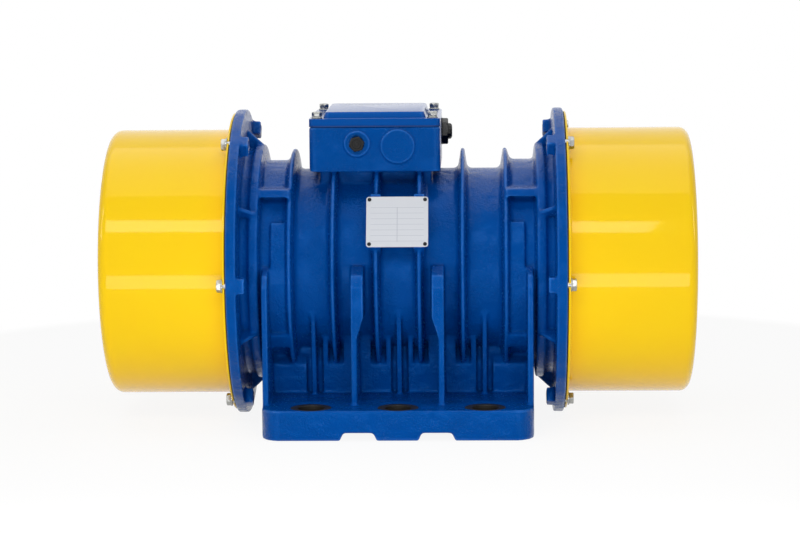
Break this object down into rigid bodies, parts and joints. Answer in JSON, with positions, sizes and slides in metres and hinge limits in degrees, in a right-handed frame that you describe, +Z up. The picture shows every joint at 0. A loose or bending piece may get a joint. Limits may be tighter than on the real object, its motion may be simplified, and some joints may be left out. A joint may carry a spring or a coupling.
{
  "type": "vibration motor",
  "caption": "Foot-mounted electric vibration motor: finned cast body with bolt-down feet, terminal box, and unbalanced weights under a round cap at each shaft end.",
  "frame": {"origin": "middle of the footprint: on the plane of the feet's underside, halfway between the two caps, below the shaft axis", "axes": "+X along the shaft towards the end beside the cable gland, +Y from the nameplate side to the back, +Z up from the feet to the terminal box"},
  "size_m": [0.857, 0.4546, 0.4595],
  "materials": {
    "blue_paint": "gloss",
    "yellow_paint": "gloss",
    "zinc_steel": "bright zinc plate",
    "machined_steel": "turned and ground",
    "laminated_steel": "stacked laminations",
    "weight_steel": "grey primer, flame cut",
    "copper_wire": "enamelled copper",
    "cast_aluminium": "die cast",
    "bronze_cage": "machined",
    "brass_stud": "turned",
    "black_rubber": "matte",
    "black_plastic": "satin",
    "board_plastic": "moulded phenolic",
    "plate_metal": "printed satin",
    "dark_rivet": "blackened"
  },
  "bodies": {
    "motor": {"motor_casing": "blue_paint", "terminal_box_lid": "blue_paint", "terminal_box_gasket": "black_rubber", "lid_bolts": "zinc_steel", "lid_bolt_washers": "zinc_steel", "terminal_block": "board_plastic", "terminal_studs": "brass_stud", "terminal_links": "brass_stud", "terminal_nuts": "brass_stud", "earth_screw": "zinc_steel", "front_entry_plug": "black_plastic", "cable_gland_body": "black_plastic", "cable_gland_nut": "black_plastic", "cable_gland_seal": "black_rubber", "nameplate": "plate_metal", "nameplate_rivets": "dark_rivet", "stator_core": "laminated_steel", "stator_windings": "copper_wire", "cap_screws": "zinc_steel", "cap_screw_washers": "zinc_steel", "housing_bolts": "zinc_steel", "cover_bolts": "zinc_steel", "left_bearing_housing": "blue_paint", "left_bearing_outer_race": "machined_steel", "left_bearing_cover": "blue_paint", "left_cap_gasket": "black_rubber", "left_end_cap": "yellow_paint", "right_bearing_housing": "blue_paint", "right_bearing_outer_race": "machined_steel", "right_bearing_cover": "blue_paint", "right_cap_gasket": "black_rubber", "right_end_cap": "yellow_paint"},
    "rotor": {"shaft": "machined_steel", "rotor_core": "laminated_steel", "rotor_cage": "cast_aluminium", "left_bearing_inner_race": "machined_steel", "left_spacer_ring": "machined_steel", "left_grease_seal": "black_rubber", "left_fixed_weight": "weight_steel", "left_weight_key": "machined_steel", "left_shaft_ring": "machined_steel", "right_bearing_inner_race": "machined_steel", "right_spacer_ring": "machined_steel", "right_grease_seal": "black_rubber", "right_fixed_weight": "weight_steel", "right_weight_key": "machined_steel", "right_shaft_ring": "machined_steel"},
    "left_roller_set": {"left_bearing_rollers": "machined_steel", "left_bearing_cage": "bronze_cage"},
    "left_adjustable_weight": {"left_adjustable_weight": "weight_steel", "left_weight_clamp_bolt": "zinc_steel"},
    "right_roller_set": {"right_bearing_rollers": "machined_steel", "right_bearing_cage": "bronze_cage"},
    "right_adjustable_weight": {"right_adjustable_weight": "weight_steel", "right_weight_clamp_bolt": "zinc_steel"}
  },
  "joints": [
    {"name": "rotor_spin", "type": "hinge", "parent": "motor", "child": "rotor", "pos_m": [0, 0, 0.23], "axis": [1, 0, 0], "continuous": true},
    {"name": "left_roller_orbit", "type": "hinge", "parent": "motor", "child": "left_roller_set", "pos_m": [0, 0, 0.23], "axis": [1, 0, 0], "continuous": true},
    {"name": "left_weight_angle", "type": "hinge", "parent": "rotor", "child": "left_adjustable_weight", "pos_m": [0, 0, 0.23], "axis": [1, 0, 0], "range_deg": [0, 180]},
    {"name": "right_roller_orbit", "type": "hinge", "parent": "motor", "child": "right_roller_set", "pos_m": [0, 0, 0.23], "axis": [1, 0, 0], "continuous": true},
    {"name": "right_weight_angle", "type": "hinge", "parent": "rotor", "child": "right_adjustable_weight", "pos_m": [0, 0, 0.23], "axis": [1, 0, 0], "range_deg": [0, 180]}
  ],
  "couplings": [
    {"joint": "left_roller_orbit", "follows": "rotor_spin", "ratio": 0.416},
    {"joint": "right_roller_orbit", "follows": "rotor_spin", "ratio": 0.416}
  ]
}
